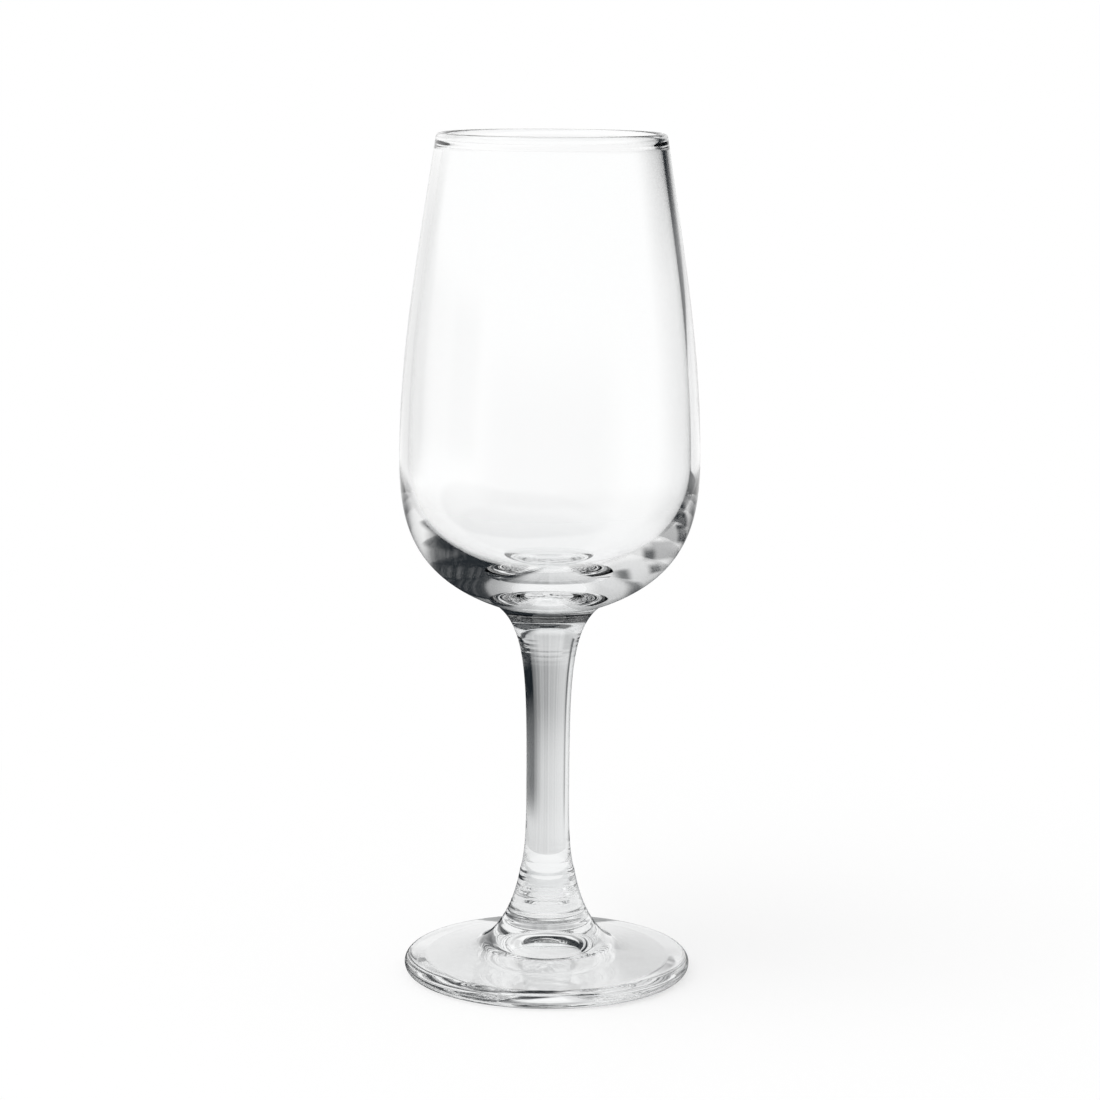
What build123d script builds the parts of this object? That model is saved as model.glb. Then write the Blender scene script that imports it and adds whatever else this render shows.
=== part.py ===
from build123d import *
from math import cos, radians, sin, tan
import os

# Sherry glass: a blown bowl, a drawn stem and a pressed foot, three pieces that meet on flat faces.
# Millimetres, +Z up along the glass's axis, origin at the middle of the plane that the foot rests on.

# Heights of the three pieces, from joint to joint
foot_height = 18.6
stem_length = 48.4
bowl_height = 83.0

# Joint faces, shared by the two pieces that meet there
foot_joint_diameter = 9.8
bowl_joint_diameter = 18.8

# Foot: disc with a rounded edge, a coned top and a trumpet boss
# Its underside rises from the bearing ring to a round kick in the middle
foot_diameter = 51.2
foot_edge_thickness = 3.4
foot_top_slope = 9.5
bearing_ring_width = 2.6
hollow_slope = 6.5
kick_diameter = 13.0
kick_depth = 3.8
boss_base_diameter = 25.4
boss_top_angle = 9.4
boss_top_reach = 9.6
boss_base_reach = 1.6

# Stem: waisted rod, with a short flare to the foot and a long one to the bowl
waist_diameter = 7.64
waist_height = 14.4
lower_flare_angle = 19.0
lower_flare_reach = 3.2
lower_waist_reach = 5.2
upper_flare_angle = 53.0
upper_flare_reach = 6.9
upper_waist_reach = 20.5

# Bowl, outside: round bottom up to the widest ring, then a flank that leans in to the rim
belly_diameter = 53.0
belly_height = 25.4
bottom_angle = 19.5
bottom_reach = 14.8
belly_lower_reach = 11.7
belly_upper_reach = 19.9
rim_diameter = 40.4
rim_lean = 8.5
rim_reach = 19.8

# Bowl, inside: thick floor, thin wall and a bead that swells inwards at the rim
floor_thickness = 4.9
floor_reach = 13.0
wall_at_belly = 1.75
belly_inner_reach = 16.0
wall_under_bead = 1.5
rim_bead_thickness = 1.7
bead_fade_height = 3.0
bead_reach = 0.8

# Levels of the joint planes and the rim
stem_level = foot_height
bowl_level = stem_level + stem_length
rim_level = bowl_level + bowl_height


def towards(start, angle, reach):
    """Point at the given reach from start, at an angle up from the outward horizontal."""
    return (start[0] + reach * cos(radians(angle)), start[1] + reach * sin(radians(angle)))


def turned(outline):
    """Solid of revolution about the glass's axis from a closed outline of (radius, height)."""
    return revolve(make_face(Plane.XZ * (Curve() + outline)), Axis.Z)


def make_foot():
    """Pressed disc: kicked underside, bearing ring, round edge, coned top and trumpet boss."""
    edge_radius = foot_edge_thickness / 2
    edge_centre = foot_diameter / 2 - edge_radius
    ring_inner = (edge_centre - bearing_ring_width, 0)
    kick_radius = kick_diameter / 2
    kick_edge = (kick_radius, (ring_inner[0] - kick_radius) * tan(radians(hollow_slope)))
    kick_top = (0, kick_edge[1] + kick_depth)
    ring_outer = (edge_centre, 0)
    edge_outer = (foot_diameter / 2, edge_radius)
    edge_top = towards((edge_centre, edge_radius), 90 - foot_top_slope, edge_radius)
    boss_run = edge_top[0] - boss_base_diameter / 2
    boss_base = (boss_base_diameter / 2, edge_top[1] + boss_run * tan(radians(foot_top_slope)))
    boss_top = (foot_joint_diameter / 2, foot_height)
    outline = [
        TangentArc(kick_top, kick_edge, tangent=(1, 0)),
        Line(kick_edge, ring_inner),
        Line(ring_inner, ring_outer),
        ThreePointArc(ring_outer, edge_outer, edge_top),
        Line(edge_top, boss_base),
        Bezier(
            boss_base,
            towards(boss_base, 180 - foot_top_slope, boss_base_reach),
            towards(boss_top, boss_top_angle - 90, boss_top_reach),
            boss_top,
        ),
        Line(boss_top, (0, foot_height)),
        Line((0, foot_height), kick_top),
    ]
    return turned(outline)


def make_stem():
    """Drawn rod: short flare off the foot's boss, slender waist, long flare up to the bowl's bottom."""
    lower_end = (foot_joint_diameter / 2, stem_level)
    waist = (waist_diameter / 2, stem_level + waist_height)
    upper_end = (bowl_joint_diameter / 2, bowl_level)
    outline = [
        Line((0, stem_level), lower_end),
        Bezier(
            lower_end,
            towards(lower_end, 90 + lower_flare_angle, lower_flare_reach),
            towards(waist, -90, lower_waist_reach),
            waist,
        ),
        Bezier(
            waist,
            towards(waist, 90, upper_waist_reach),
            towards(upper_end, -90 - upper_flare_angle, upper_flare_reach),
            upper_end,
        ),
        Line(upper_end, (0, bowl_level)),
        Line((0, bowl_level), (0, stem_level)),
    ]
    return turned(outline)


def make_bowl():
    """Blown cup: solid heel, round bottom, leaning flank, and a rim bead that fades into the wall."""
    bead_radius = rim_bead_thickness / 2
    bead_centre = (rim_diameter / 2 - bead_radius, rim_level - bead_radius)
    foot_of_bowl = (bowl_joint_diameter / 2, bowl_level)
    belly = (belly_diameter / 2, bowl_level + belly_height)
    rim_outside = towards(bead_centre, rim_lean, bead_radius)
    rim_top = (bead_centre[0], rim_level)
    rim_inside = (bead_centre[0] - bead_radius, bead_centre[1])
    bead_foot = (
        rim_diameter / 2 + bead_fade_height * tan(radians(rim_lean)) - wall_under_bead,
        rim_level - bead_fade_height,
    )
    belly_inside = (belly[0] - wall_at_belly, belly[1])
    floor_middle = (0, bowl_level + floor_thickness)
    outline = [
        Line((0, bowl_level), foot_of_bowl),
        Bezier(
            foot_of_bowl,
            towards(foot_of_bowl, bottom_angle, bottom_reach),
            towards(belly, -90, belly_lower_reach),
            belly,
        ),
        Bezier(
            belly,
            towards(belly, 90, belly_upper_reach),
            towards(rim_outside, rim_lean - 90, rim_reach),
            rim_outside,
        ),
        ThreePointArc(rim_outside, rim_top, rim_inside),
        Bezier(
            rim_inside,
            towards(rim_inside, -90, bead_reach),
            towards(bead_foot, 90 + rim_lean, bead_reach),
            bead_foot,
        ),
        Bezier(
            bead_foot,
            towards(bead_foot, rim_lean - 90, rim_reach),
            towards(belly_inside, 90, belly_upper_reach),
            belly_inside,
        ),
        Bezier(
            belly_inside,
            towards(belly_inside, -90, belly_inner_reach),
            towards(floor_middle, 0, floor_reach),
            floor_middle,
        ),
        Line(floor_middle, (0, bowl_level)),
    ]
    return turned(outline)


os.makedirs("parts", exist_ok=True)
pieces = {"foot": make_foot(), "stem": make_stem(), "bowl": make_bowl()}
for name, solid in pieces.items():
    export_step(solid, f"parts/{name}.step")
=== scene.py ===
"""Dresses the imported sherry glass: blown bowl, drawn stem and pressed foot, in a white studio."""

import math
from typing import NamedTuple

import bmesh
import bpy
from bpy.props import FloatProperty, FloatVectorProperty, IntProperty, PointerProperty
from bpy.types import Operator, Panel, PropertyGroup
from mathutils import Matrix, Vector


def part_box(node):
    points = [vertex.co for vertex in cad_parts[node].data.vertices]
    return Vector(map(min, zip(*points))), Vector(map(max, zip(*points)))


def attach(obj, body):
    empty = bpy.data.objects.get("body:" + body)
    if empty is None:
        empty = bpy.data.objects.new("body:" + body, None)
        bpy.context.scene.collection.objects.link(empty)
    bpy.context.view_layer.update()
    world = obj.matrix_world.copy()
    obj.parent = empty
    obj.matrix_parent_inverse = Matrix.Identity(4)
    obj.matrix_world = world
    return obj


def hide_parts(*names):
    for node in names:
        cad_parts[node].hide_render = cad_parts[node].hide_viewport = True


bl_info = {
    "name": "Sherry Glass",
    "version": (1, 0, 0),
    "blender": (4, 5, 0),
    "location": "3D View > Sidebar > Sherry Glass",
    "description": "Builds a clear sherry glass around its packed solids, in a white studio",
    "category": "Add Mesh",
}

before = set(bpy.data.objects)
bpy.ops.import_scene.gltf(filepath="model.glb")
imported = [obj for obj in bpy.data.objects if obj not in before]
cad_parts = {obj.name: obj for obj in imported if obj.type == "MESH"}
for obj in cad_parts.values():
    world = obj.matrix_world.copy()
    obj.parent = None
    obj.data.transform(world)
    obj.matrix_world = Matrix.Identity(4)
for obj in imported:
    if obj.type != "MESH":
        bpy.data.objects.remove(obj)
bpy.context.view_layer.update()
FOOT_LOW, FOOT_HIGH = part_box("foot")
STEM_LOW, STEM_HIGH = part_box("stem")
BOWL_LOW, BOWL_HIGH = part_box("bowl")

# The stem is widest where it meets the bowl, and the bowl is widest at its belly
BOWL_JOINT_RADIUS = STEM_HIGH.x
BELLY_RADIUS = BOWL_HIGH.x
FOOT_RADIUS = FOOT_HIGH.x


# Properties

def length(name, description, default):
    """Length property, in metres."""
    return FloatProperty(
        name=name,
        description=description,
        default=default,
        min=0.0,
        precision=5,
        subtype="DISTANCE",
        unit="LENGTH",
    )


def angle(name, description, degrees):
    """Angle property, given here in degrees."""
    return FloatProperty(
        name=name,
        description=description,
        default=math.radians(degrees),
        subtype="ANGLE",
        unit="ROTATION",
    )


def share(name, description, default):
    """Property from nought to one."""
    return FloatProperty(
        name=name,
        description=description,
        default=default,
        min=0.0,
        max=1.0,
        subtype="FACTOR",
    )


def amount(name, description, default):
    """Plain number with no unit."""
    return FloatProperty(name=name, description=description, default=default, min=0.0)


def colour(name, description, default):
    """Colour property, in linear red, green and blue."""
    return FloatVectorProperty(
        name=name,
        description=description,
        default=default,
        size=3,
        min=0.0,
        max=1.0,
        subtype="COLOR",
    )


def spot(name, description, default):
    """Place in the studio, in metres."""
    return FloatVectorProperty(
        name=name,
        description=description,
        default=default,
        size=3,
        subtype="TRANSLATION",
        unit="LENGTH",
    )


class BowlShape(PropertyGroup):
    """Outline of the blown bowl."""

    belly_height: length("Belly height", "Height of the widest ring above the stem's joint", 0.0254)
    bottom_angle: angle("Bottom angle", "Rise of the outside where it leaves the stem", 19.5)
    bottom_reach: length("Bottom reach", "How far the outside keeps that rise", 0.0148)
    belly_lower_reach: length("Belly lower reach", "How far the belly stays upright downwards", 0.0117)
    belly_upper_reach: length("Belly upper reach", "How far the belly stays upright upwards", 0.0199)
    rim_diameter: length("Rim diameter", "Outside diameter at the rim", 0.0404)
    rim_lean: angle("Rim lean", "Lean of the flank at the rim, inwards from upright", 8.5)
    rim_reach: length("Rim reach", "How far the flank keeps that lean", 0.0198)
    floor_thickness: length("Floor thickness", "Glass under the middle of the cup", 0.0049)
    floor_reach: length("Floor reach", "How far the inside stays level from its middle", 0.013)
    wall_at_belly: length("Wall at belly", "Wall at the widest ring", 0.00175)
    belly_inner_reach: length("Belly inner reach", "How far the inside stays upright downwards", 0.016)
    wall_under_bead: length("Wall under bead", "Wall just under the rim's bead", 0.0015)
    bead_thickness: length("Bead thickness", "Thickness of the rounded rim", 0.0017)
    bead_fade: length("Bead fade", "Depth at which the bead has faded into the wall", 0.003)
    bead_reach: length("Bead reach", "How gently the bead fades", 0.0008)
    heel_low: length("Heel low", "Height above the joint up to which the glass is heavy", 0.003)
    heel_high: length("Heel high", "Height above the joint from which the glass is thin", 0.015)


class StemShape(PropertyGroup):
    """Outline of the drawn stem."""

    foot_joint_diameter: length("Foot joint diameter", "Diameter where the stem meets the foot", 0.0098)
    waist_diameter: length("Waist diameter", "Diameter at the slimmest place", 0.00764)
    waist_height: length("Waist height", "Height of the slimmest place above the foot", 0.0144)
    lower_flare_angle: angle("Lower flare angle", "Lean of the side where it leaves the foot", 19.0)
    lower_flare_reach: length("Lower flare reach", "How far the side keeps that lean", 0.0032)
    lower_waist_reach: length("Lower waist reach", "How far the waist stays upright downwards", 0.0052)
    upper_flare_angle: angle("Upper flare angle", "Lean of the side where it meets the bowl", 53.0)
    upper_flare_reach: length("Upper flare reach", "How far the side keeps that lean", 0.0069)
    upper_waist_reach: length("Upper waist reach", "How far the waist stays upright upwards", 0.0205)
    ring_pitch: length("Ring pitch", "Spacing of the tool rings under the bowl", 0.001)
    ring_depth: length("Ring depth", "Height of the tool rings", 0.00002)
    ring_drop: length("Ring drop", "Depth of the middle of the tool rings below the bowl", 0.0075)
    ring_spread: length("Ring spread", "Half width of the band of tool rings", 0.0018)
    throat_depth: length("Throat depth", "Depth below the bowl at which the throat begins", 0.009)


class FootShape(PropertyGroup):
    """Outline of the pressed foot."""

    edge_thickness: length("Edge thickness", "Thickness of the disc's rounded edge", 0.0034)
    top_slope: angle("Top slope", "Rise of the disc's top towards the boss", 9.5)
    bearing_ring_width: length("Bearing ring width", "Width of the flat ring that it stands on", 0.0026)
    hollow_slope: angle("Hollow slope", "Rise of the underside inside the bearing ring", 6.5)
    kick_diameter: length("Kick diameter", "Diameter of the round kick under the middle", 0.013)
    kick_depth: length("Kick depth", "Rise of the kick above its edge", 0.0038)
    boss_base_diameter: length("Boss base diameter", "Diameter where the boss leaves the disc", 0.0254)
    boss_base_reach: length("Boss base reach", "How far the boss keeps the disc's slope", 0.0016)
    boss_top_angle: angle("Boss top angle", "Lean of the boss where it meets the stem", 9.4)
    boss_top_reach: length("Boss top reach", "How far the boss keeps that lean", 0.0096)
    ring_pitch: length("Ring pitch", "Spacing of the press rings on the boss", 0.0011)
    ring_depth: length("Ring depth", "Height of the press rings", 0.00002)
    ring_height: length("Ring height", "Height of the middle of the press rings", 0.0118)
    ring_spread: length("Ring spread", "Half width of the band of press rings", 0.0026)
    tint_low: length("Tint low", "Height up to which the glass has the foot's own colour", 0.004)
    tint_high: length("Tint high", "Height from which the glass has the stem's colour", 0.018)


class GlassFinish(PropertyGroup):
    """Colour and surface of the glass."""

    # The faint green of these colours is the glass's own. The grey of the stem, deepest in the throat
    # under the bowl, is painted shade that darkens what shows through it.
    clear: colour("Clear", "Colour of the clean glass", (0.997, 0.999, 0.999))
    heel: colour("Heel", "Colour of the heavy bottom", (0.972, 0.98, 0.983))
    throat: colour("Throat", "Colour of the stem right under the bowl", (0.8, 0.815, 0.82))
    drawn: colour("Drawn", "Colour of the stem", (0.93, 0.94, 0.943))
    pressed: colour("Pressed", "Colour of the foot", (0.975, 0.983, 0.985))
    index: amount("Refractive index", "How strongly the glass bends light", 1.52)
    streak_spacing: length("Streak spacing", "Width of the upright streaks in the glass", 0.004)
    streak_depth: length("Streak depth", "Height of the upright streaks", 0.000004)
    streak_stretch: amount("Streak stretch", "Height of a streak in widths", 12.5)
    band_width: amount("Band width", "Width of the faint bands of colour in streaks", 4.0)
    band_share: share("Band share", "How much of the lower colour the bands take", 0.12)
    worn: share("Worn roughness", "Roughness of the ring that rubs on the table", 0.03)
    worn_height: length("Worn height", "Height up to which the ring is worn", 0.0001)
    # The film roughness marks light that has crossed the thin wall, so that the cards' painted dark
    # reflections leave the wall clear.
    film: share("Film roughness", "Roughness of the thin wall, where hands leave a film", 0.03)
    film_from: length("Film from", "Height above the table at which the film begins", 0.1)


class StudioSetting(PropertyGroup):
    """Camera, floor and light of the white studio."""

    camera_distance: length("Camera distance", "Camera from the glass's axis", 0.572)
    camera_height: length("Camera height", "Camera above the table", 0.171)
    camera_tilt: angle("Camera tilt", "How far the camera looks down", 9.36)
    camera_roll: angle("Camera roll", "How far the camera leans to its left", 0.37)
    camera_lens: amount("Lens", "Focal length in millimetres on a 36 millimetre sensor", 107.25)
    camera_shift: amount("Shift", "Sideways shift of the frame", 0.0007)
    floor_radius: length("Floor radius", "Radius of the round floor", 1.5)
    floor_fade: length("Floor fade", "Radius at which the lit floor has faded to white", 0.2)
    floor_colour: colour("Floor colour", "Colour of the lit floor", (0.95, 0.95, 0.95))
    ceiling_colour: colour("Ceiling colour", "Colour of the ceiling in the glass", (0.22, 0.22, 0.22))
    soft_level: amount("Soft level", "Strength of the light from all round", 0.85)
    lamp_power: amount("Lamp power", "Power of the overhead soft box in watts", 2.5)
    lamp_size: length("Lamp size", "Width of the soft box", 0.6)
    lamp_place: spot("Lamp place", "Middle of the soft box", (-0.3, -0.2, 0.9))
    card_radius: length("Card radius", "Dark cards from the glass's axis", 0.15)
    card_foot: length("Card foot", "Inner radius of the cards' foot on the floor", 0.05)
    card_height: length("Card height", "Height of the dark cards", 0.45)
    card_colour: colour("Card colour", "Colour of the dark cards", (0.012, 0.016, 0.02))


class SherryGlass(PropertyGroup):
    """Everything that a user would change."""

    bowl: PointerProperty(name="Bowl", description="Outline of the bowl", type=BowlShape)
    stem: PointerProperty(name="Stem", description="Outline of the stem", type=StemShape)
    foot: PointerProperty(name="Foot", description="Outline of the foot", type=FootShape)
    finish: PointerProperty(name="Finish", description="Look of the glass", type=GlassFinish)
    studio: PointerProperty(name="Studio", description="Look of the studio", type=StudioSetting)
    turns: IntProperty(name="Turns", description="Facets round a turned piece", default=220, min=24)


# Turned shapes

UP = math.pi / 2
LEVEL_IN = math.pi


def towards(start, direction, reach):
    """Point at the given reach from start, in a direction measured from the outward horizontal."""
    return (start[0] + reach * math.cos(direction), start[1] + reach * math.sin(direction))


class Outline:
    """Half outline of a turned piece: points of (radius, height), out from the axis and back."""

    def __init__(self, start):
        self.points = [start]
        self.joints = set()

    def line(self, end, steps=1):
        """Straight run to end."""
        start = self.points[-1]
        for step in range(1, steps + 1):
            part = step / steps
            self.points.append(tuple(a + (b - a) * part for a, b in zip(start, end)))

    def joint(self, end):
        """Flat face where the glass goes on into the next piece."""
        self.joints.add(len(self.points) - 1)
        self.line(end)

    def curve(self, leave, arrive, end, steps):
        """Cubic curve to end, with its two handles."""
        knots = (self.points[-1], leave, arrive, end)
        for step in range(1, steps + 1):
            t = step / steps
            weights = ((1 - t) ** 3, 3 * (1 - t) ** 2 * t, 3 * (1 - t) * t * t, t ** 3)
            radius = sum(weight * knot[0] for weight, knot in zip(weights, knots))
            height = sum(weight * knot[1] for weight, knot in zip(weights, knots))
            self.points.append((radius, height))

    def arc(self, centre, radius, first, last, steps):
        """Round arc between two directions."""
        for step in range(1, steps + 1):
            direction = first + (last - first) * step / steps
            self.points.append(towards(centre, direction, radius))

    def rings(self, first, pitch, depth, middle, spread):
        """Raises fine rings on the points from the first one on, strongest at the middle height."""
        smooth = list(self.points)
        run = 0.0
        for number in range(first, len(smooth) - 1):
            before, here, after = smooth[number - 1:number + 2]
            run += math.dist(before, here)
            along = Vector(after) - Vector(before)
            outward = Vector((along.y, -along.x)).normalized()
            swell = math.exp(-((here[1] - middle) / spread) ** 2)
            raised = Vector(here) + outward * depth * swell * math.sin(2 * math.pi * run / pitch)
            self.points[number] = tuple(raised)


def turned(name, outline, turns, glass, seam):
    """Closed mesh of the outline turned about the upright axis; its joints take the seam's finish."""
    work = bmesh.new()
    corners = [2 * math.pi * turn / turns for turn in range(turns)]
    rings = []
    for radius, height in outline.points:
        if radius == 0:
            rings.append([work.verts.new((0, 0, height))] * turns)
            continue
        circle = [(radius * math.cos(a), radius * math.sin(a), height) for a in corners]
        rings.append([work.verts.new(point) for point in circle])
    for row, (near, far) in enumerate(zip(rings, rings[1:])):
        for turn in range(turns):
            onward = (turn + 1) % turns
            loop = dict.fromkeys((near[turn], near[onward], far[onward], far[turn]))
            face = work.faces.new(loop)
            face.smooth = True
            face.material_index = int(row in outline.joints)
    for edge in work.edges:
        kinds = {face.material_index for face in edge.link_faces}
        edge.smooth = len(kinds) == 1
    bmesh.ops.recalc_face_normals(work, faces=work.faces)
    mesh = bpy.data.meshes.new(name)
    work.to_mesh(mesh)
    work.free()
    mesh.materials.append(glass)
    mesh.materials.append(seam)
    piece = bpy.data.objects.new(name, mesh)
    bpy.context.scene.collection.objects.link(piece)
    return piece


def place(piece, node):
    """Sets a piece in its solid's stead, on the glass's one body."""
    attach(piece, "root")
    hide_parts(node)


# Shader graphs

WHITE = (1.0, 1.0, 1.0, 1.0)


class Value:
    """One socket of a shader graph, which takes part in sums."""

    def __init__(self, graph, socket):
        self.graph = graph
        self.socket = socket

    def maths(self, operation, first, second):
        """Value of a Math node."""
        settings = {"operation": operation}
        return self.graph.node("ShaderNodeMath", settings, {0: first, 1: second})["Value"]

    def __add__(self, other):
        return self.maths("ADD", self, other)

    def __radd__(self, other):
        return self.maths("ADD", other, self)

    def __sub__(self, other):
        return self.maths("SUBTRACT", self, other)

    def __rsub__(self, other):
        return self.maths("SUBTRACT", other, self)

    def __mul__(self, other):
        return self.maths("MULTIPLY", self, other)

    def __rmul__(self, other):
        return self.maths("MULTIPLY", other, self)

    def __lt__(self, other):
        return self.maths("LESS_THAN", self, other)

    def __gt__(self, other):
        return self.maths("GREATER_THAN", self, other)


class Node:
    """A node whose outputs are read by name."""

    def __init__(self, graph, node):
        self.graph = graph
        self.node = node

    def __getitem__(self, output):
        return Value(self.graph, self.node.outputs[output])


class Graph:
    """Node tree of a material or of the world."""

    def __init__(self, owner):
        owner.use_nodes = True
        self.tree = owner.node_tree
        self.tree.nodes.clear()

    def node(self, kind, settings, sockets):
        """Adds a node: its settings first, and then the values or links of its sockets."""
        made = self.tree.nodes.new(kind)
        for name, value in settings.items():
            setattr(made, name, value)
        for name, value in sockets.items():
            if isinstance(value, Value):
                self.tree.links.new(value.socket, made.inputs[name])
            else:
                made.inputs[name].default_value = value
        return Node(self, made)

    def rise(self, value, low, high):
        """Smooth step of a value, from nought at low to one at high."""
        settings = {"interpolation_type": "SMOOTHSTEP"}
        sockets = {"Value": value, "From Min": low, "From Max": high}
        return self.node("ShaderNodeMapRange", settings, sockets)["Result"]

    def mixed(self, factor, first, second):
        """Blend of two shaders."""
        return self.node("ShaderNodeMixShader", {}, {0: factor, 1: first, 2: second})["Shader"]

    def blended(self, factor, first, second):
        """Blend of two colours."""
        settings = {"data_type": "RGBA"}
        return self.node("ShaderNodeMix", settings, {0: factor, 6: first, 7: second})[2]

    def noise(self, where, spacing):
        """Soft noise of the given spacing, from nought to one."""
        sockets = {"Vector": where, "Scale": 1 / spacing, "Detail": 1.0}
        return self.node("ShaderNodeTexNoise", {}, sockets)["Fac"]

    def glow(self, shade):
        """Even emission of a colour."""
        return self.node("ShaderNodeEmission", {}, {"Color": shade})["Emission"]


def opaque(shade):
    """Colour with its fourth part, as node sockets take it."""
    return (*shade, 1.0)


def either(first, second):
    """Cover of two things that overlap."""
    return 1 - (1 - first) * (1 - second)


def level(ends, factor):
    """Value between two ends: the first where the factor is nought, the second where it is one."""
    return ends[0] + (ends[1] - ends[0]) * factor


def object_place(graph):
    """Object coordinates and their three parts."""
    where = graph.node("ShaderNodeTexCoord", {}, {})["Object"]
    parts = graph.node("ShaderNodeSeparateXYZ", {}, {"Vector": where})
    return where, parts["X"], parts["Y"], parts["Z"]


# Glass

# Where in the noise the faint bands of colour begin and are full
BAND_EDGE = (0.45, 0.75)

# Heights over which the worn ring and the film fade, as multiples of where they begin
WORN_FADE = 3
FILM_FADE = 1.04


def clear_glass(name, finish, lower, upper, change):
    """Clear glass with upright streaks, whose colour goes from lower to upper over two heights."""
    material = bpy.data.materials.new(name)
    graph = Graph(material)
    where, _, _, height = object_place(graph)
    stretch = (1.0, 1.0, 1 / finish.streak_stretch)
    drawn_out = graph.node("ShaderNodeMapping", {}, {"Vector": where, "Scale": stretch})["Vector"]
    streaks = graph.noise(drawn_out, finish.streak_spacing)
    bands = graph.noise(drawn_out, finish.streak_spacing * finish.band_width)
    plain = graph.blended(graph.rise(height, *change), opaque(lower), opaque(upper))
    banded = graph.rise(bands, *BAND_EDGE) * finish.band_share
    bump = {"Strength": 1.0, "Distance": finish.streak_depth, "Height": streaks}
    worn = 1 - graph.rise(height, finish.worn_height, finish.worn_height * WORN_FADE)
    # The film marks the thin wall, which the cards' painted dark reflections leave clear.
    film = graph.rise(height, finish.film_from, finish.film_from * FILM_FADE)
    sockets = {
        "Base Color": graph.blended(banded, plain, opaque(lower)),
        "Roughness": worn * finish.worn + film * finish.film,
        "IOR": finish.index,
        "Transmission Weight": 1.0,
        "Normal": graph.node("ShaderNodeBump", {}, bump)["Normal"],
    }
    shader = graph.node("ShaderNodeBsdfPrincipled", {}, sockets)["BSDF"]
    graph.node("ShaderNodeOutputMaterial", {}, {"Surface": shader})
    return material


def fused_seam(name, finish):
    """Finish of a joint face, where the glass goes on unbroken and nothing shows."""
    material = bpy.data.materials.new(name)
    graph = Graph(material)
    sockets = {"Base Color": opaque(finish.clear), "Alpha": 0.0}
    shader = graph.node("ShaderNodeBsdfPrincipled", {}, sockets)["BSDF"]
    graph.node("ShaderNodeOutputMaterial", {}, {"Surface": shader})
    return material


# Pieces

class SHERRY_OT_bowl(Operator):
    """Blows the bowl: heavy bottom, thin flank and a bead at the rim"""

    bl_idname = "sherry.bowl"
    bl_label = "Bowl"

    def execute(self, context):
        glass = context.scene.sherry_glass
        finish = glass.finish
        shape = glass.bowl
        bottom, top = BOWL_LOW.z, BOWL_HIGH.z
        bead = shape.bead_thickness / 2
        rim = shape.rim_diameter / 2
        bead_centre = (rim - bead, top - bead)
        heel = (BOWL_JOINT_RADIUS, bottom)
        belly = (BELLY_RADIUS, bottom + shape.belly_height)
        rim_outside = towards(bead_centre, shape.rim_lean, bead)
        rim_inside = (bead_centre[0] - bead, bead_centre[1])
        wall_top = rim + shape.bead_fade * math.tan(shape.rim_lean) - shape.wall_under_bead
        bead_foot = (wall_top, top - shape.bead_fade)
        belly_inside = (belly[0] - shape.wall_at_belly, belly[1])
        floor = (0, bottom + shape.floor_thickness)
        outline = Outline((0, bottom))
        outline.joint(heel)
        outline.curve(
            leave=towards(heel, shape.bottom_angle, shape.bottom_reach),
            arrive=towards(belly, -UP, shape.belly_lower_reach),
            end=belly,
            steps=120,
        )
        outline.curve(
            leave=towards(belly, UP, shape.belly_upper_reach),
            arrive=towards(rim_outside, shape.rim_lean - UP, shape.rim_reach),
            end=rim_outside,
            steps=70,
        )
        outline.arc(bead_centre, bead, shape.rim_lean, LEVEL_IN, steps=24)
        outline.curve(
            leave=towards(rim_inside, -UP, shape.bead_reach),
            arrive=towards(bead_foot, UP + shape.rim_lean, shape.bead_reach),
            end=bead_foot,
            steps=30,
        )
        outline.curve(
            leave=towards(bead_foot, shape.rim_lean - UP, shape.rim_reach),
            arrive=towards(belly_inside, UP, shape.belly_upper_reach),
            end=belly_inside,
            steps=70,
        )
        outline.curve(
            leave=towards(belly_inside, -UP, shape.belly_inner_reach),
            arrive=towards(floor, 0, shape.floor_reach),
            end=floor,
            steps=120,
        )
        change = (bottom + shape.heel_low, bottom + shape.heel_high)
        material = clear_glass("blown_glass", finish, finish.heel, finish.clear, change)
        seam = fused_seam("bowl_seam", finish)
        piece = turned("blown_bowl", outline, glass.turns, material, seam)
        place(piece, "bowl")
        return {"FINISHED"}


class SHERRY_OT_stem(Operator):
    """Draws the stem: short flare off the foot, slender waist and a long flare under the bowl"""

    bl_idname = "sherry.stem"
    bl_label = "Stem"

    def execute(self, context):
        glass = context.scene.sherry_glass
        finish = glass.finish
        shape = glass.stem
        bottom, top = STEM_LOW.z, STEM_HIGH.z
        lower_end = (shape.foot_joint_diameter / 2, bottom)
        waist = (shape.waist_diameter / 2, bottom + shape.waist_height)
        upper_end = (BOWL_JOINT_RADIUS, top)
        outline = Outline((0, bottom))
        outline.joint(lower_end)
        outline.curve(
            leave=towards(lower_end, UP + shape.lower_flare_angle, shape.lower_flare_reach),
            arrive=towards(waist, -UP, shape.lower_waist_reach),
            end=waist,
            steps=60,
        )
        flare = len(outline.points)
        outline.curve(
            leave=towards(waist, UP, shape.upper_waist_reach),
            arrive=towards(upper_end, -UP - shape.upper_flare_angle, shape.upper_flare_reach),
            end=upper_end,
            steps=320,
        )
        rings_at = top - shape.ring_drop
        outline.rings(flare, shape.ring_pitch, shape.ring_depth, rings_at, shape.ring_spread)
        outline.joint((0, top))
        # The stem greys towards the throat under the bowl: painted shade.
        change = (top - shape.throat_depth, top)
        material = clear_glass("drawn_glass", finish, finish.drawn, finish.throat, change)
        seam = fused_seam("stem_seam", finish)
        piece = turned("drawn_stem", outline, glass.turns, material, seam)
        place(piece, "stem")
        return {"FINISHED"}


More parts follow.
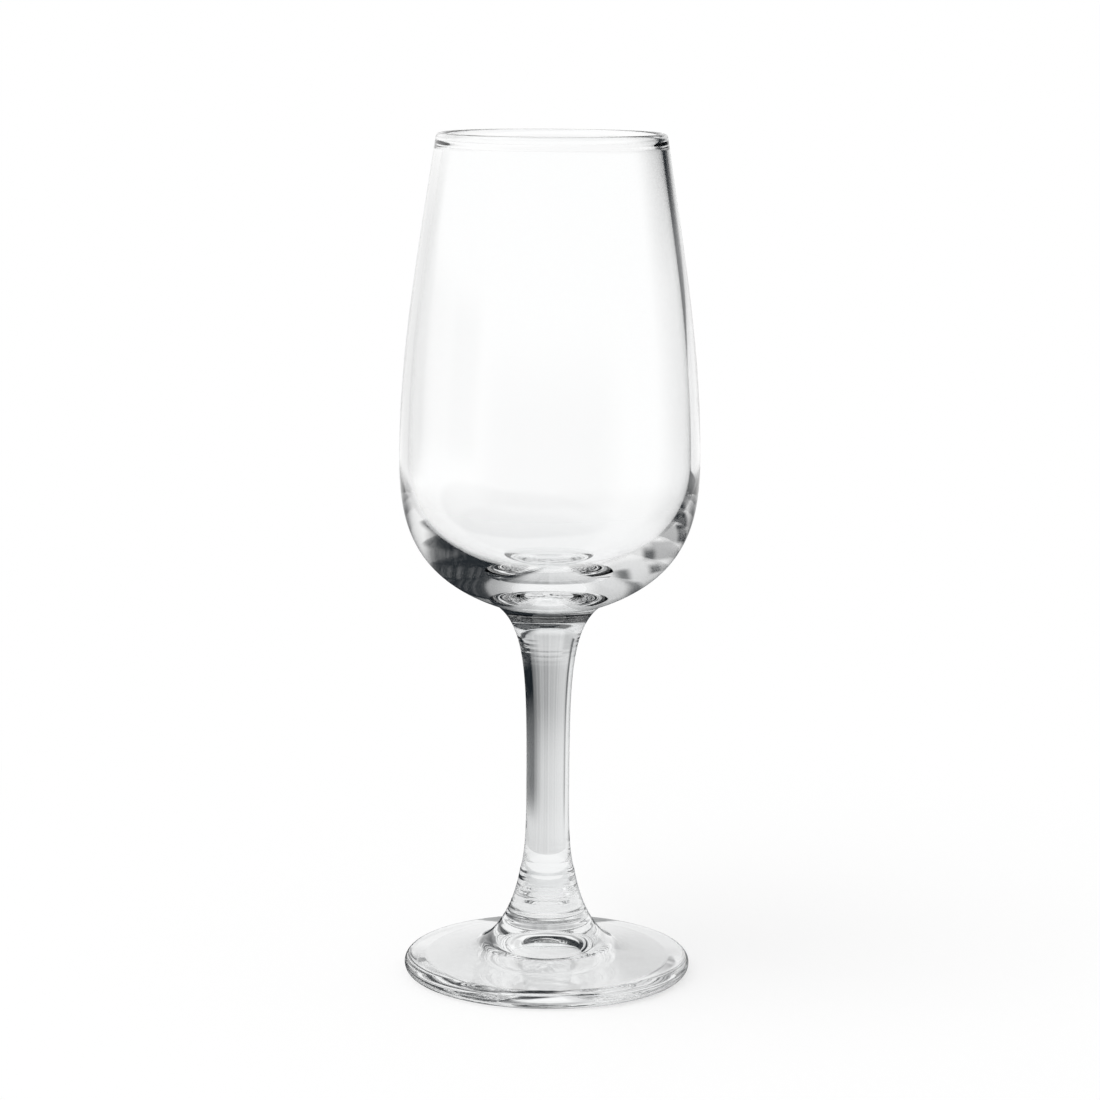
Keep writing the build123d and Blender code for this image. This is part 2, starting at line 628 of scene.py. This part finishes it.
class SHERRY_OT_foot(Operator):
    """Presses the foot: kicked underside, bearing ring, round edge, coned top and trumpet boss"""

    bl_idname = "sherry.foot"
    bl_label = "Foot"

    def execute(self, context):
        glass = context.scene.sherry_glass
        finish = glass.finish
        shape = glass.foot
        bottom, top = FOOT_LOW.z, FOOT_HIGH.z
        edge = shape.edge_thickness / 2
        edge_centre = (FOOT_RADIUS - edge, bottom + edge)
        ring_inner = edge_centre[0] - shape.bearing_ring_width
        kick = shape.kick_diameter / 2
        kick_edge = bottom + (ring_inner - kick) * math.tan(shape.hollow_slope)
        kick_radius = (kick ** 2 + shape.kick_depth ** 2) / (2 * shape.kick_depth)
        kick_centre = (0, kick_edge + shape.kick_depth - kick_radius)
        kick_turn = math.asin(kick / kick_radius)
        edge_top = towards(edge_centre, UP - shape.top_slope, edge)
        boss_radius = shape.boss_base_diameter / 2
        boss_rise = (edge_top[0] - boss_radius) * math.tan(shape.top_slope)
        boss_base = (boss_radius, edge_top[1] + boss_rise)
        boss_top = (glass.stem.foot_joint_diameter / 2, top)
        outline = Outline((0, kick_edge + shape.kick_depth))
        outline.arc(kick_centre, kick_radius, UP, UP - kick_turn, steps=60)
        outline.line((ring_inner, bottom), steps=30)
        outline.line((edge_centre[0], bottom), steps=8)
        outline.arc(edge_centre, edge, -UP, UP - shape.top_slope, steps=40)
        outline.line(boss_base, steps=30)
        boss = len(outline.points)
        outline.curve(
            leave=towards(boss_base, LEVEL_IN - shape.top_slope, shape.boss_base_reach),
            arrive=towards(boss_top, shape.boss_top_angle - UP, shape.boss_top_reach),
            end=boss_top,
            steps=180,
        )
        rings_at = bottom + shape.ring_height
        outline.rings(boss, shape.ring_pitch, shape.ring_depth, rings_at, shape.ring_spread)
        outline.joint((0, top))
        change = (bottom + shape.tint_low, bottom + shape.tint_high)
        material = clear_glass("pressed_glass", finish, finish.pressed, finish.drawn, change)
        seam = fused_seam("foot_seam", finish)
        piece = turned("pressed_foot", outline, glass.turns, material, seam)
        place(piece, "foot")
        return {"FINISHED"}


# Dark cards round the glass, seen only in it: painted dark reflections and refractions, each kept to
# light that has taken a given way through the glass

# A soft edge is a pair: where it begins and where it is done
# Bearings are in degrees clockwise from straight behind the glass, heights and reaches in metres

class Card(NamedTuple):
    """Dark card, a painted dark reflection in the glass: its strength and its soft edges."""

    strength: float
    begins: tuple
    ends: tuple = None
    foot: tuple = None
    top: tuple = None
    reach: tuple = None


# Tall card at the right, whose edge leans in low down, high up and for light that winds about
TALL_EDGE = (45, 49)
TALL_REACH = (0.09, 0.15)
TALL_LEAN = 18
LEAN_UNDER = (0.055, 0.075)
LEAN_UNDER_STRAIGHT = (0.08, 0.095)
LEAN_OVER = (0.096, 0.13)
TALL_TOP_LEAN = 10
TALL_TOP = (0.18, 0.3)
TALL_STREAKS = (0.4, 0.65)
TALL_LOW_FADE = (0.4, 0.6)
TALL_LOW = (0.018, 0.034)
TALL_WINDING_FADE = (0.04, 0.2)

# Shade that goes on from the tall card behind the glass and along the floor
SHADE_LEVELS = (0.3, 0.55)
SHADE_TURN = (-30, 10)
SHADE_TOP = (0.045, 0.07)
SHADE_UPPER = 0.5
SHADE_UPPER_TOP = (0.1, 0.13)
SHADE_STREAKS = (0.3, 0.7)
SHADE_STREAK_LEVELS = (0.85, 1.15)
SHADE_LEAST = 0.4
SHADE_FAR = 0.15
SHADE_FAR_REACH = (0.08, 0.15)
SHADE_RAISED = 0.45
SHADE_RAISED_FOOT = (0.0, 0.028)
NEAR_SHADE = Card(0.55, begins=(8, 28), reach=(0.085, 0.15))

# Sides of everything dark at the right, and the height over which it shows to every ray
RIGHT_SIDES = Card(1.0, begins=(-50, -38), ends=(72, 98))
RIGHT_ALWAYS_OVER = (0.13, 0.155)

# Card, slat and haze at the left
LEFT_CARD = Card(1.0, begins=(-130, -118), ends=(-68, -58), foot=(0.074, 0.088), top=(0.125, 0.145))
LEFT_CARD_LEVELS = (1.0, 0.55)
LEFT_CARD_TURN = (-104, -96)
LEFT_SLAT = Card(0.9, begins=(-69, -63), ends=(-59, -53), foot=(0.078, 0.09), top=(0.1, 0.125))
LEFT_HAZE = Card(0.22, begins=(-70, -55), ends=(-24, -16), foot=(0.05, 0.08), top=(0.13, 0.16))

# Narrow strip at the left, behind the glass, fainter near the floor
STRIP = Card(1.0, begins=(-46, -41), ends=(-40, -34), top=(0.1, 0.12), reach=(0.06, 0.15))
STRIP_LEVELS = (0.5, 0.8)
STRIP_FADE = (0.01, 0.04)

# Curtain before the glass, alike at its two sides: the bearings where it is full and where it ends
CURTAIN_SIDES = (150, 118)
CURTAIN_FOOT = (0.0, 0.035)
CURTAIN_TOP = (0.09, 0.14)

# Upright streaks of the cards
STREAK_SCALE = 16.0
STREAK_DETAIL = 2.0

# Facets round the cards and the floor
STUDIO_SEGMENTS = 96

# Depths of a ray's way that stand between none and one, and between two and three
NONE_YET = 0.5
AFTER_TWO = 2.5


class CardHit:
    """Where a ray meets the studio, and its way through the glass so far.

    A straight ray has had no reflection on its way and a winding one has had three or more.
    A solid ray has crossed one thickness of glass, and a filmed one has done so at the thin wall.
    """

    def __init__(self, graph):
        self.graph = graph
        where, self.across, away, self.height = object_place(graph)
        around = {"operation": "ARCTAN2"}
        self.bearing = graph.node("ShaderNodeMath", around, {0: self.across, 1: away})["Value"]
        flatten = {"operation": "MULTIPLY"}
        flat = graph.node("ShaderNodeVectorMath", flatten, {0: where, 1: (1.0, 1.0, 0.0)})["Vector"]
        self.reach = graph.node("ShaderNodeVectorMath", {"operation": "LENGTH"}, {0: flat})["Value"]
        path = graph.node("ShaderNodeLightPath", {}, {})
        self.through = path["Transmission Depth"] > NONE_YET
        self.solid = self.through * (path["Transmission Depth"] < AFTER_TWO)
        self.straight = path["Glossy Depth"] < NONE_YET
        self.winding = self.through * (path["Glossy Depth"] > AFTER_TWO)
        self.mirrored = path["Is Glossy Ray"] * (1 - self.through)
        self.filmed = self.solid * self.straight * (1 - path["Is Singular Ray"])

    def past(self, first, last):
        """Rise with the bearing, between two angles in degrees."""
        return self.graph.rise(self.bearing, math.radians(first), math.radians(last))

    def above(self, first, last):
        """Rise with the height."""
        return self.graph.rise(self.height, first, last)

    def beyond(self, first, last):
        """Rise with the reach from the axis."""
        return self.graph.rise(self.reach, first, last)

    def on(self, card):
        """How dark a card is at this place."""
        cover = card.strength * self.past(*card.begins)
        if card.ends:
            cover = cover * (1 - self.past(*card.ends))
        if card.foot:
            cover = cover * self.above(*card.foot)
        if card.top:
            cover = cover * (1 - self.above(*card.top))
        if card.reach:
            cover = cover * self.beyond(*card.reach)
        return cover

    def streaks(self):
        """Upright streaks, from nought to one."""
        sockets = {"W": self.bearing, "Scale": STREAK_SCALE, "Detail": STREAK_DETAIL}
        return self.graph.node("ShaderNodeTexNoise", {"noise_dimensions": "1D"}, sockets)["Fac"]


def tall_cover(hit, near, streaks):
    """Tall card at the right, which leans in where near is one and is streaked and faint low down."""
    graph = hit.graph
    lean = math.radians(TALL_LEAN) * near + math.radians(TALL_TOP_LEAN) * hit.above(*TALL_TOP)
    begins, ends = (math.radians(side) for side in TALL_EDGE)
    upright = graph.rise(hit.bearing + lean, begins, ends) * hit.beyond(*TALL_REACH)
    streaked = graph.rise(streaks, *TALL_STREAKS)
    low = level(TALL_LOW_FADE, streaked) * (1 - hit.above(*TALL_LOW)) * hit.straight
    faint = either(low, level(TALL_WINDING_FADE, streaked) * hit.winding)
    return upright * (1 - faint)


def shade_cover(hit, near, streaks):
    """Soft shade behind the glass and along the floor."""
    slope = level(SHADE_LEVELS, hit.past(*SHADE_TURN))
    upper = SHADE_UPPER * hit.above(*SHADE_TOP) * (1 - hit.above(*SHADE_UPPER_TOP)) * hit.straight
    streaked = level(SHADE_STREAK_LEVELS, hit.graph.rise(streaks, *SHADE_STREAKS))
    band = (1 - hit.above(*SHADE_TOP) + upper) * streaked
    raised = SHADE_RAISED * hit.above(*SHADE_RAISED_FOOT)
    fade = SHADE_LEAST + SHADE_FAR * hit.beyond(*SHADE_FAR_REACH) + raised
    return either(slope * band * fade, hit.on(NEAR_SHADE) * near)


def right_cover(hit):
    """Everything dark at the right: the tall card and the shade that goes on from it."""
    streaks = hit.streaks()
    near = either(either(1 - hit.above(*LEAN_UNDER), hit.above(*LEAN_OVER)), hit.winding)
    near = either(near, hit.straight * (1 - hit.above(*LEAN_UNDER_STRAIGHT)))
    shown = either(either(hit.solid, hit.winding), hit.above(*RIGHT_ALWAYS_OVER))
    dark = either(tall_cover(hit, near, streaks), shade_cover(hit, near, streaks))
    return dark * hit.on(RIGHT_SIDES) * shown


def left_cover(hit):
    """Small card at the left, before the glass, with a slat and a haze beside it."""
    card = hit.on(LEFT_CARD) * level(LEFT_CARD_LEVELS, hit.past(*LEFT_CARD_TURN)) * hit.solid
    slat = hit.on(LEFT_SLAT) * hit.winding
    return either(either(card, slat), hit.on(LEFT_HAZE) * hit.through)


def strip_cover(hit):
    """Narrow upright strip at the left, behind the glass."""
    shown = either(hit.solid * hit.straight, hit.winding)
    return hit.on(STRIP) * level(STRIP_LEVELS, hit.above(*STRIP_FADE)) * shown


def front_cover(hit):
    """Curtain before the glass, soft on every side."""
    graph = hit.graph
    behind = graph.node("ShaderNodeMath", {"operation": "COSINE"}, {0: hit.bearing})["Value"]
    full, clear = (math.cos(math.radians(side)) for side in CURTAIN_SIDES)
    tall = hit.above(*CURTAIN_FOOT) * (1 - hit.above(*CURTAIN_TOP))
    return (1 - graph.rise(behind, full, clear)) * tall * hit.solid


def surround_finish(studio):
    """Dark cards that only the glass picks up, clear between them: painted dark reflections and
    refractions.
    """
    material = bpy.data.materials.new("dark_cards")
    graph = Graph(material)
    hit = CardHit(graph)
    sides = either(right_cover(hit), left_cover(hit))
    cover = either(sides, either(strip_cover(hit), front_cover(hit))) * (1 - hit.filmed)
    clear = graph.node("ShaderNodeBsdfTransparent", {}, {})["BSDF"]
    dark = graph.glow(opaque(studio.card_colour))
    graph.node("ShaderNodeOutputMaterial", {}, {"Surface": graph.mixed(cover, clear, dark)})
    return material


def dark_surround(studio):
    """Round wall about the glass with a foot along the floor, out of the camera's sight."""
    work = bmesh.new()
    radius = studio.card_radius
    side = [(studio.card_foot, 0.0), (radius, 0.0), (radius, studio.card_height)]
    columns = []
    for step in range(STUDIO_SEGMENTS):
        bearing = 2 * math.pi * step / STUDIO_SEGMENTS
        out = Vector((math.sin(bearing), math.cos(bearing), 0))
        corners = [out * reach + Vector((0, 0, height)) for reach, height in side]
        columns.append([work.verts.new(corner) for corner in corners])
    for near, far in zip(columns, columns[1:] + columns[:1]):
        for low, high in ((0, 1), (1, 2)):
            work.faces.new((near[low], far[low], far[high], near[high]))
    mesh = bpy.data.meshes.new("dark_cards")
    work.to_mesh(mesh)
    work.free()
    mesh.materials.append(surround_finish(studio))
    wall = bpy.data.objects.new("dark_cards", mesh)
    wall.visible_camera = False
    wall.visible_diffuse = False
    wall.visible_shadow = False
    return wall


# World and floor

# Dark ceiling that only light through the glass picks up, a painted dark reflection: its edge in the
# upward part of a direction, lower to the right
CEILING_EDGE = (0.62, 0.76)
CEILING_TILT = 0.25

# Dark cloth hung high at the right, a patch of the sky seen only in the glass and a painted dark
# reflection: its middle, and where it is full and where it ends, in degrees
CLOTH_BEARING = 75
CLOTH_CLIMB = 57
CLOTH_FULL = 42
CLOTH_END = 50
CLOTH_HORIZON = (0.0, 0.15)

# Share of white glow in the floor near the glass, at its left and its right, and where it changes:
# painted light that lightens the glass's shadow, weaker at the right so that the shadow stays deeper
# there
FLOOR_WHITE = (0.79, 0.59)
FLOOR_TURN = (0.0, 0.02)

# Where the floor's fade begins, as a share of the radius at which it is done
FADE_BEGINS = 0.3

# Where the dark floor comes to an end, which only the outside of the glass mirrors: a painted dark
# reflection
FLOOR_MIRROR_END = (0.25, 0.6)

# Dark part of the floor beside the glass, seen only by light that winds about in the glass: a painted
# dark reflection
FLOOR_BESIDE = Card(0.8, begins=(15, 28), ends=(70, 95))

# Clear of the foot's flat ring, so that the two never share a plane
FLOOR_GAP = 0.0001


def hung_cloth(graph, where):
    """Round dark patch of the sky, one at its middle and nought outside it."""
    bearing, climb = math.radians(CLOTH_BEARING), math.radians(CLOTH_CLIMB)
    flat = math.cos(climb)
    middle = (math.sin(bearing) * flat, math.cos(bearing) * flat, math.sin(climb))
    settings = {"operation": "DOT_PRODUCT"}
    toward = graph.node("ShaderNodeVectorMath", settings, {0: where, 1: middle})["Value"]
    end, full = (math.cos(math.radians(side)) for side in (CLOTH_END, CLOTH_FULL))
    return graph.rise(toward, end, full)


def studio_world(studio):
    """World that lights softly from all round and is white to the eye; in the glass it shows a dark
    ceiling and a dark cloth, which are painted dark reflections.
    """
    world = bpy.data.worlds.new("white_studio")
    graph = Graph(world)
    path = graph.node("ShaderNodeLightPath", {}, {})
    seen = path["Is Camera Ray"] + path["Is Glossy Ray"] + path["Is Transmission Ray"]
    through = path["Transmission Depth"] > NONE_YET
    where = graph.node("ShaderNodeTexCoord", {}, {})["Generated"]
    parts = graph.node("ShaderNodeSeparateXYZ", {}, {"Vector": where})
    across, up = parts["X"], parts["Z"]
    ceiling = graph.rise(up + CEILING_TILT * across, *CEILING_EDGE) * through
    pale = graph.blended(ceiling, WHITE, opaque(studio.ceiling_colour))
    cloth = hung_cloth(graph, where) * graph.rise(up, *CLOTH_HORIZON)
    shade = graph.blended(cloth, pale, opaque(studio.card_colour))
    soft = {"Color": WHITE, "Strength": studio.soft_level}
    lights = graph.node("ShaderNodeBackground", {}, soft)["Background"]
    shown = {"Color": shade, "Strength": 1.0}
    backdrop = graph.node("ShaderNodeBackground", {}, shown)["Background"]
    graph.node("ShaderNodeOutputWorld", {}, {"Surface": graph.mixed(seen, lights, backdrop)})
    return world


def floor_finish(studio):
    """Pale floor that takes the glass's shadow, lightened by a painted white glow, and fades to white
    away from it.
    """
    material = bpy.data.materials.new("pale_floor")
    graph = Graph(material)
    hit = CardHit(graph)
    colour_of_floor = {"Color": opaque(studio.floor_colour)}
    lit = graph.node("ShaderNodeBsdfDiffuse", {}, colour_of_floor)["BSDF"]
    faded = hit.beyond(studio.floor_fade * FADE_BEGINS, studio.floor_fade)
    # The white glow is painted light: it lightens the glass's shadow near the glass, less at the right.
    pale = level(FLOOR_WHITE, graph.rise(hit.across, *FLOOR_TURN))
    seen = graph.mixed(either(pale, faded), lit, graph.glow(WHITE))
    # Dark floor seen only in the glass's reflections: painted dark reflections.
    mirror = hit.mirrored * (1 - hit.beyond(*FLOOR_MIRROR_END))
    cover = either(mirror, hit.on(FLOOR_BESIDE) * hit.winding)
    dark = graph.glow(opaque(studio.card_colour))
    graph.node("ShaderNodeOutputMaterial", {}, {"Surface": graph.mixed(cover, seen, dark)})
    return material


def studio_floor(studio):
    """Round floor just under the foot."""
    work = bmesh.new()
    radius = studio.floor_radius
    bmesh.ops.create_circle(work, cap_ends=True, radius=radius, segments=STUDIO_SEGMENTS)
    mesh = bpy.data.meshes.new("floor")
    work.to_mesh(mesh)
    work.free()
    mesh.materials.append(floor_finish(studio))
    floor = bpy.data.objects.new("floor", mesh)
    floor.location.z = FOOT_LOW.z - FLOOR_GAP
    return floor


# Lamp and camera

SENSOR_WIDTH = 36
CLIP_START = 0.01

# How often light may bounce
# The dark bands at the stem's top and the dark cores of the heel's rings depend on the glossy limit
BOUNCES = {
    "max_bounces": 32,
    "glossy_bounces": 17,
    "transmission_bounces": 24,
    "transparent_max_bounces": 32,
}


def soft_box(studio):
    """Overhead lamp that aims at the bowl, whose own image stays out of the glass."""
    data = bpy.data.lights.new("soft_box", "AREA")
    data.size = studio.lamp_size
    data.energy = studio.lamp_power
    lamp = bpy.data.objects.new("soft_box", data)
    lamp.location = studio.lamp_place
    lamp.visible_glossy = False
    lamp.visible_transmission = False
    aim = Vector((0, 0, BOWL_LOW.z)) - lamp.location
    lamp.rotation_euler = aim.to_track_quat("-Z", "Y").to_euler()
    return lamp


def studio_camera(studio):
    """Camera before the glass, which looks a little down."""
    data = bpy.data.cameras.new("camera")
    data.sensor_width = SENSOR_WIDTH
    data.lens = studio.camera_lens
    data.shift_x = studio.camera_shift
    data.clip_start = CLIP_START
    camera = bpy.data.objects.new("camera", data)
    looking_down = Matrix.Rotation(UP - studio.camera_tilt, 4, "X")
    camera.matrix_world = looking_down @ Matrix.Rotation(studio.camera_roll, 4, "Z")
    camera.location = (0, -studio.camera_distance, studio.camera_height)
    return camera


class SHERRY_OT_studio(Operator):
    """Sets the floor, the light, the dark cards and the camera"""

    bl_idname = "sherry.studio"
    bl_label = "Studio"

    def execute(self, context):
        scene = context.scene
        studio = scene.sherry_glass.studio
        scene.world = studio_world(studio)
        scene.view_settings.view_transform = "Standard"
        for name, limit in BOUNCES.items():
            setattr(scene.cycles, name, limit)
        floor = studio_floor(studio)
        cards = dark_surround(studio)
        camera = studio_camera(studio)
        for thing in (floor, cards, soft_box(studio), camera):
            scene.collection.objects.link(thing)
        scene.camera = camera
        return {"FINISHED"}


class SHERRY_PT_panel(Panel):
    """Lists the pieces, the glass, the studio and their settings"""

    bl_idname = "SHERRY_PT_panel"
    bl_label = "Sherry Glass"
    bl_space_type = "VIEW_3D"
    bl_region_type = "UI"
    bl_category = "Sherry Glass"

    def draw(self, context):
        glass = context.scene.sherry_glass
        groups = (
            (SHERRY_OT_bowl, glass.bowl),
            (SHERRY_OT_stem, glass.stem),
            (SHERRY_OT_foot, glass.foot),
            (SHERRY_OT_studio, glass.studio),
        )
        for operator, group in groups:
            box = self.layout.box()
            box.operator(operator.bl_idname)
            for name in group.__annotations__:
                box.prop(group, name)
        box = self.layout.box()
        box.label(text="Glass")
        box.prop(glass, "turns")
        for name in glass.finish.__annotations__:
            box.prop(glass.finish, name)


CLASSES = (
    BowlShape,
    StemShape,
    FootShape,
    GlassFinish,
    StudioSetting,
    SherryGlass,
    SHERRY_OT_bowl,
    SHERRY_OT_stem,
    SHERRY_OT_foot,
    SHERRY_OT_studio,
    SHERRY_PT_panel,
)


def register():
    for kind in CLASSES:
        bpy.utils.register_class(kind)
    bpy.types.Scene.sherry_glass = PointerProperty(
        name="Sherry glass",
        description="Settings of the glass and its studio",
        type=SherryGlass,
    )


def unregister():
    del bpy.types.Scene.sherry_glass
    for kind in reversed(CLASSES):
        bpy.utils.unregister_class(kind)


def main():
    register()
    bpy.ops.sherry.foot()
    bpy.ops.sherry.stem()
    bpy.ops.sherry.bowl()
    bpy.ops.sherry.studio()


if __name__ == "__main__":
    main()
